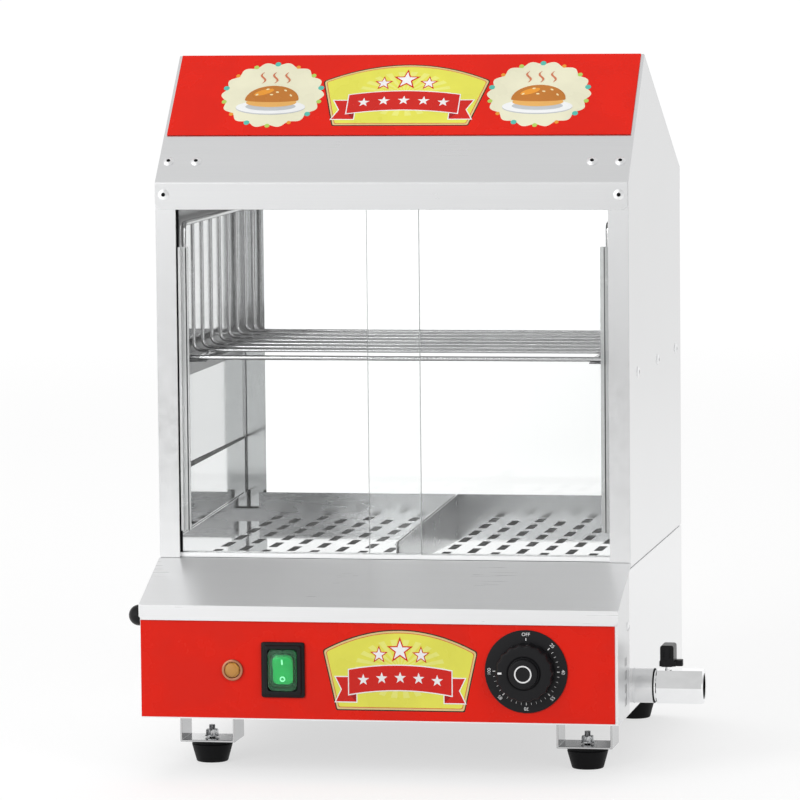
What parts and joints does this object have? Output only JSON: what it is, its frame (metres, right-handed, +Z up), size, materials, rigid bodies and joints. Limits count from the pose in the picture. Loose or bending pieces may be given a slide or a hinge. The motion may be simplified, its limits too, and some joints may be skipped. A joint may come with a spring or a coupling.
{
  "type": "hot dog steamer",
  "caption": "Countertop hot dog steamer: sloping hood, sliding clear doors, wire bun rack over perforated trays, water tank base with dial, switch, lamp and drain valve.",
  "frame": {"origin": "middle of the overall footprint, on the surface that the four rubber feet stand on", "axes": "+X to the operator's right, towards the drain valve; -Y out of the front, where the doors and controls are; +Z up"},
  "size_m": [0.5008, 0.456, 0.6178],
  "materials": {
    "brushed_steel": "brushed stainless sheet",
    "polished_steel": "bright stainless sheet",
    "bright_wire": "bright drawn wire",
    "chrome": "bright chrome plate",
    "red_panel": "red print on sheet, semi-gloss",
    "clear_glass": "clear",
    "black_plastic": "moulded, satin",
    "black_rubber": "moulded, matt",
    "green_cover": "clear green rubber",
    "green_rocker": "gloss",
    "amber_lens": "faceted lens",
    "zinc_plate": "zinc plated",
    "brass": "plain"
  },
  "bodies": {
    "cabinet": {"front_console": "brushed_steel", "control_panel": "red_panel", "ledge_cover": "brushed_steel", "base_floor": "brushed_steel", "base_back": "brushed_steel", "base_side_left": "brushed_steel", "base_side_right": "brushed_steel", "water_tank": "brushed_steel", "tank_deck": "brushed_steel", "heating_element": "brushed_steel", "water_probe": "brass", "side_panel_left": "brushed_steel", "side_panel_right": "brushed_steel", "side_liner_left": "polished_steel", "side_liner_right": "polished_steel", "hood_front": "brushed_steel", "hood_rear": "brushed_steel", "hood_sign": "red_panel", "rear_glass": "clear_glass", "door_track_bottom": "brushed_steel", "door_track_top": "brushed_steel", "rack_rail_left": "brushed_steel", "rack_rail_right": "brushed_steel", "lamp_ring": "chrome", "lamp_lens": "amber_lens", "switch_body": "black_plastic", "switch_cover": "green_cover", "dial_plate": "black_plastic", "thermostat_body": "zinc_plate", "thermostat_bulb": "brass", "side_knob": "black_plastic", "drain_pipe": "polished_steel", "valve_body": "chrome", "cable_gland": "black_plastic", "foot_bracket_front_left": "polished_steel", "foot_bracket_front_right": "polished_steel", "foot_bracket_rear_left": "polished_steel", "foot_bracket_rear_right": "polished_steel", "foot_bolt_front_left": "zinc_plate", "foot_bolt_front_right": "zinc_plate", "foot_bolt_rear_left": "zinc_plate", "foot_bolt_rear_right": "zinc_plate", "foot_rubber_front_left": "black_rubber", "foot_rubber_front_right": "black_rubber", "foot_rubber_rear_left": "black_rubber", "foot_rubber_rear_right": "black_rubber"},
    "left_door": {"door_left": "clear_glass", "door_grip_left": "clear_glass"},
    "right_door": {"door_right": "clear_glass", "door_grip_right": "clear_glass"},
    "bun_rack_body": {"bun_rack": "bright_wire"},
    "left_tray": {"tray_left": "brushed_steel"},
    "right_tray": {"tray_right": "brushed_steel"},
    "dial_knob": {"thermostat_knob": "black_plastic"},
    "switch_rocker": {"rocker": "green_rocker"},
    "drain_handle": {"valve_handle": "black_plastic", "valve_ball": "chrome"}
  },
  "joints": [
    {"name": "left_door_slide", "type": "slide", "parent": "cabinet", "child": "left_door", "axis": [1, 0, 0], "range_m": [0, 0.175]},
    {"name": "right_door_slide", "type": "slide", "parent": "cabinet", "child": "right_door", "axis": [-1, 0, 0], "range_m": [0, 0.175]},
    {"name": "bun_rack_lift", "type": "slide", "parent": "cabinet", "child": "bun_rack_body", "axis": [0, 0, 1], "range_m": [0, 0.03]},
    {"name": "left_tray_lift", "type": "slide", "parent": "cabinet", "child": "left_tray", "axis": [0, 0, 1], "range_m": [0, 0.1]},
    {"name": "right_tray_lift", "type": "slide", "parent": "cabinet", "child": "right_tray", "axis": [0, 0, 1], "range_m": [0, 0.1]},
    {"name": "dial_turn", "type": "hinge", "parent": "cabinet", "child": "dial_knob", "pos_m": [0.11045, -0.21065, 0.0976], "axis": [0, -1, 0], "range_deg": [0, 270]},
    {"name": "rocker_tilt", "type": "hinge", "parent": "cabinet", "child": "switch_rocker", "pos_m": [-0.10085, -0.21105, 0.0959], "axis": [-1, 0, 0], "range_deg": [0, 15]},
    {"name": "drain_valve_turn", "type": "hinge", "parent": "cabinet", "child": "drain_handle", "pos_m": [0.21895, -0.10625, 0.0725], "axis": [0, 0, 1], "range_deg": [0, 90]}
  ]
}
